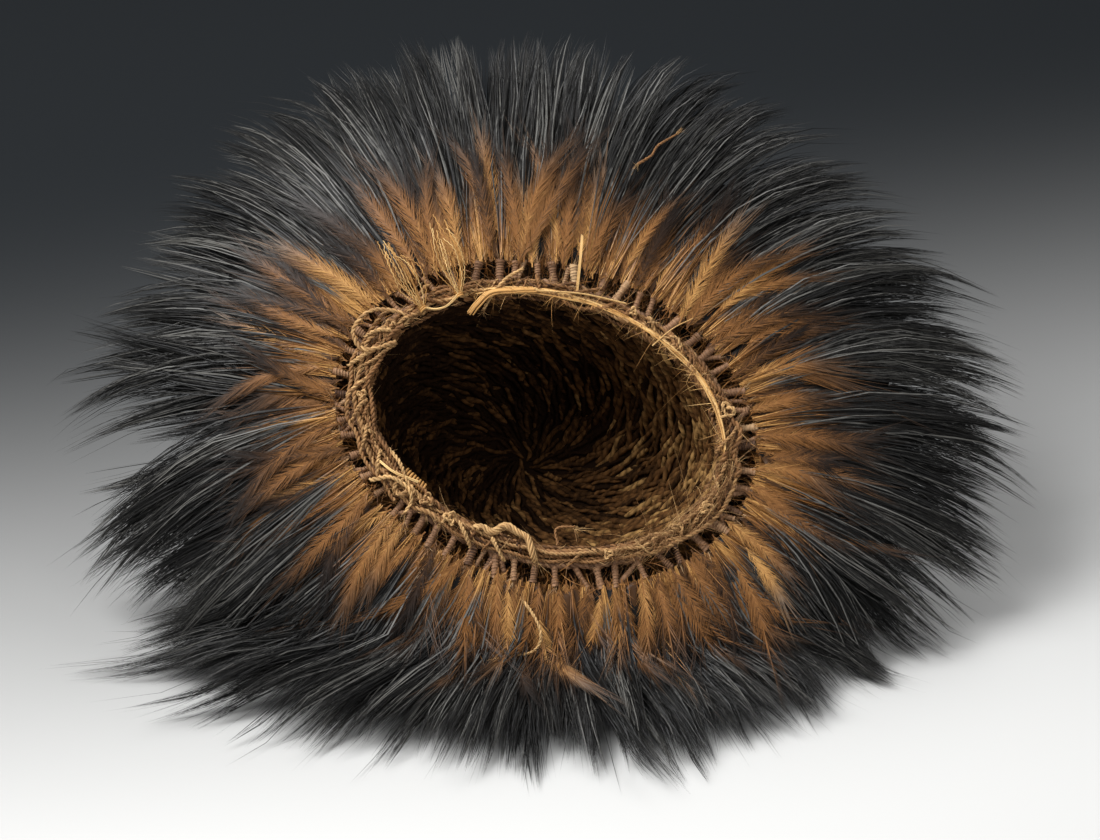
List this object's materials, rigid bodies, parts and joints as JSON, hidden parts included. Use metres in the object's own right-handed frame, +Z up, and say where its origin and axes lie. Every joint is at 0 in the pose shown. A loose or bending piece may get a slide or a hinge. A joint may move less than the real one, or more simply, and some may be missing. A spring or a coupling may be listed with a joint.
{
  "type": "feathered headdress",
  "caption": "Looped fibre cap with a corded opening and bound quill posts, covered in rings of long brown and black feathers, lying on its crown.",
  "frame": {"origin": "middle of the floor that the headdress covers, as it lies on its crown", "axes": "+Z up, +X along the longer way across the opening, -Y the way the opening faces, which also looks up by 42 degrees"},
  "size_m": [0.531, 0.4222, 0.2534],
  "materials": {
    "cap_fibre": "matt looped cord, dark brown with tan wear",
    "cord_fibre": "matt twisted fibre cord",
    "quill_binding": "matt bound fibre",
    "pale_fibre": "dry split fibre with a faint sheen",
    "feather": "black hair-like feather with grey sheen, ochre brown at the root"
  },
  "bodies": {
    "root": {"cap": "cap_fibre", "rim_cord": "cord_fibre", "quill_posts": "quill_binding", "fibre_strip": "pale_fibre", "raffia_tassel_left": "pale_fibre", "raffia_tassel_right": "pale_fibre", "rim_row_upper": "feather", "rim_row_lower": "feather", "second_row_upper": "feather", "second_row_lower": "feather", "third_row_upper": "feather", "third_row_lower": "feather", "fourth_row_left": "feather", "fourth_row_right": "feather", "crown_row": "feather"}
  },
  "joints": []
}
